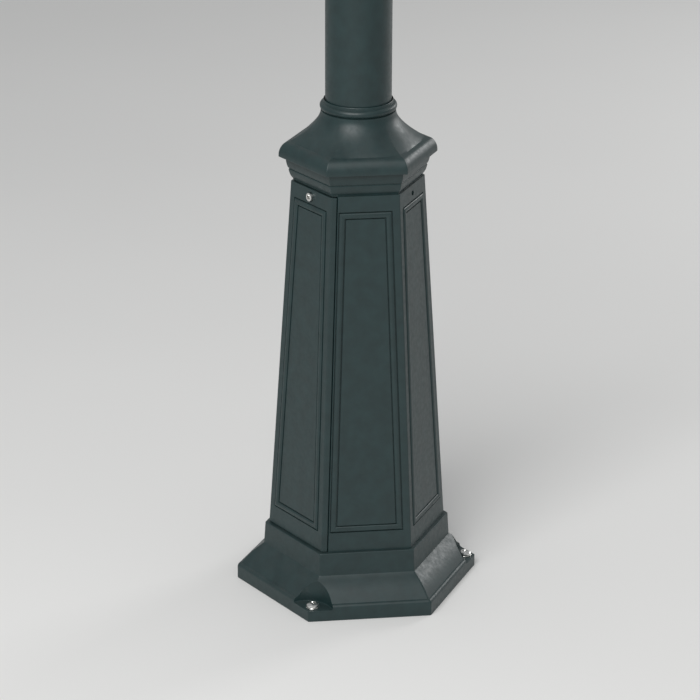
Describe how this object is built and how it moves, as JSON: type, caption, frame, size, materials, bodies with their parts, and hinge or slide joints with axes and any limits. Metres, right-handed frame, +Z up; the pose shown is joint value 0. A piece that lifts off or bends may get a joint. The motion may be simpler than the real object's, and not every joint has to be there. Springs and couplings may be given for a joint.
{
  "type": "street post pedestal",
  "caption": "Hexagonal cast pedestal for a street clock or lamp post, with panelled tapered body, access door, cornice collar and lower post section.",
  "frame": {"origin": "centre of the foot's underside, on the ground", "axes": "+Z up along the post, -Y out of the face that carries the access door"},
  "size_m": [0.291, 0.252, 0.841],
  "materials": {
    "casting": "satin fine-textured powder coat, very dark green",
    "post": "satin fine-textured powder coat, very dark green",
    "bright_steel": "polished stainless",
    "zinc_steel": "zinc plated",
    "spigot_metal": "turned",
    "rubber": "matt",
    "breaker_plastic": "fine spark texture",
    "dark_plastic": "moulded",
    "terminal_plastic": "moulded",
    "brass": "plain"
  },
  "bodies": {
    "pedestal": {"foot_casting": "casting", "body_casting": "casting", "door_gasket": "rubber", "face_screws": "casting", "cornice_collar": "casting", "socket_set_screws": "zinc_steel", "post_tube": "post", "post_seal": "rubber", "top_spigot": "spigot_metal", "spigot_screws": "zinc_steel", "body_screws": "zinc_steel", "body_screw_washers": "zinc_steel", "anchor_screws": "bright_steel", "anchor_washers": "bright_steel", "gear_plate": "zinc_steel", "gear_plate_screws": "zinc_steel", "din_rail": "zinc_steel", "rail_screws": "zinc_steel", "rail_end_stops": "terminal_plastic", "circuit_breaker": "breaker_plastic", "terminal_blocks": "terminal_plastic", "terminal_screws": "zinc_steel", "earth_stud": "brass", "earth_nuts": "brass", "gland_body": "dark_plastic", "gland_cap": "dark_plastic", "gland_locknut": "dark_plastic", "gland_seal": "rubber", "cable_saddle": "zinc_steel", "saddle_screws": "zinc_steel"},
    "door": {"access_door": "casting"},
    "retainer": {"screw_retainer": "zinc_steel"},
    "screw": {"door_screw": "bright_steel"},
    "toggle": {"breaker_toggle": "dark_plastic"}
  },
  "joints": [
    {"name": "door_tilt", "type": "hinge", "parent": "pedestal", "child": "door", "pos_m": [0, -0.092, 0.074], "axis": [1, 0, 0], "range_deg": [0, 40]},
    {"name": "door_screw_release", "type": "slide", "parent": "door", "child": "retainer", "axis": [0, -0.9984, 0.057], "range_m": [0, 0.008]},
    {"name": "door_screw_turn", "type": "hinge", "parent": "retainer", "child": "screw", "pos_m": [0, -0.06787, 0.496], "axis": [0, -0.9984, 0.057], "range_deg": [0, 2880]},
    {"name": "breaker_switch", "type": "hinge", "parent": "pedestal", "child": "toggle", "pos_m": [-0.0168, -0.0485, 0.23], "axis": [1, 0, 0], "range_deg": [0, 56]}
  ],
  "couplings": [
    {"joint": "door_screw_turn", "follows": "door_screw_release", "rad_per_m": 6283.2}
  ]
}
